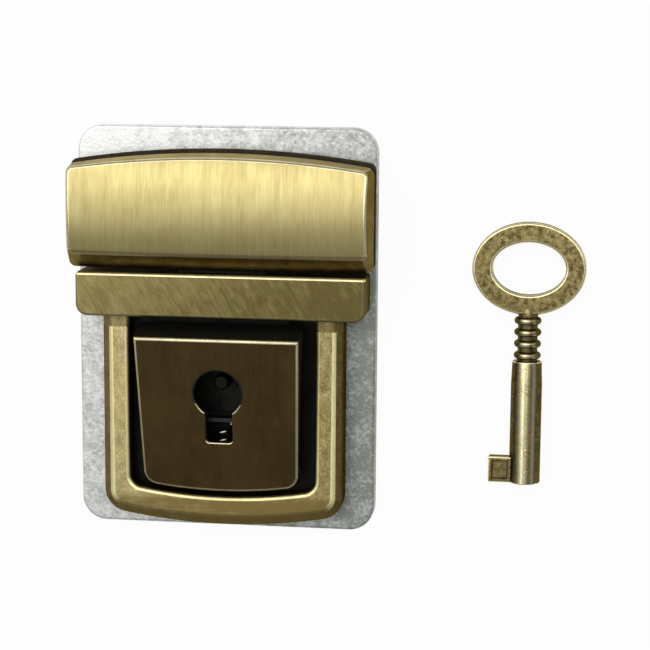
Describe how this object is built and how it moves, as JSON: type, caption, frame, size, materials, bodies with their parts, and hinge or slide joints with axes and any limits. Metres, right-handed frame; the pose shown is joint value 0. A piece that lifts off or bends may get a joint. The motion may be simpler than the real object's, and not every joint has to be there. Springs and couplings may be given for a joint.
{
  "type": "bag lock",
  "caption": "Press-tab bag lock: brushed brass cap and bar, U frame, dark hinged tab with a keyhole, a tongue that slides in behind the bar, and a barrel key.",
  "frame": {"origin": "centre of the backing plate's rear face", "axes": "+Z out of the lock's face, +Y towards the bag's flap, +X to the key's side"},
  "size_m": [0.0652, 0.052, 0.0104],
  "materials": {
    "cast_brass": "brushed antique brass plate on a zinc casting",
    "cap_brass": "finely brushed antique brass plate",
    "tab_bronze": "dark oiled bronze, satin, bright at its edges",
    "key_brass": "aged antique brass",
    "zinc_plate": "dull mottled zinc plating",
    "steel": "plain pressed steel",
    "dark_steel": "blackened steel",
    "spring_steel": "bright spring wire"
  },
  "bodies": {
    "lock_case": {"backing_plate": "zinc_plate", "case_front": "cast_brass", "case_back": "dark_steel", "case_screws": "steel", "key_post": "dark_steel", "hinge_pin": "steel", "tab_return_spring": "spring_steel", "catch_spring": "dark_steel", "catch_rivets": "steel", "bolt_keepers": "dark_steel", "bolt_spring": "spring_steel"},
    "thumb_tab": {"thumb_tab": "tab_bronze"},
    "lock_bolt": {"lock_bolt": "steel"},
    "flap_piece": {"flap_cap": "cap_brass", "flap_rear_plate": "cap_brass", "flap_screws": "steel", "tongue": "dark_steel", "tongue_rivets": "dark_steel"},
    "key": {"key": "key_brass"}
  },
  "joints": [
    {"name": "tab_press", "type": "hinge", "parent": "lock_case", "child": "thumb_tab", "pos_m": [0, -0.0178, 0.005], "axis": [-1, 0, 0], "range_deg": [0, 6], "stiffness_Nm_per_rad": 0.05, "deforming": ["tab_return_spring"]},
    {"name": "bolt_throw", "type": "slide", "parent": "lock_case", "child": "lock_bolt", "axis": [1, 0, 0], "range_m": [0, 0.0024]},
    {"name": "flap_slide", "type": "slide", "parent": "lock_case", "child": "flap_piece", "axis": [0, 1, 0], "range_m": [0, 0.012], "deforming": ["catch_spring"]},
    {"name": "key_lift", "type": "slide", "parent": "lock_case", "child": "key", "axis": [0, 0, 1], "range_m": [0, 0.03]}
  ]
}
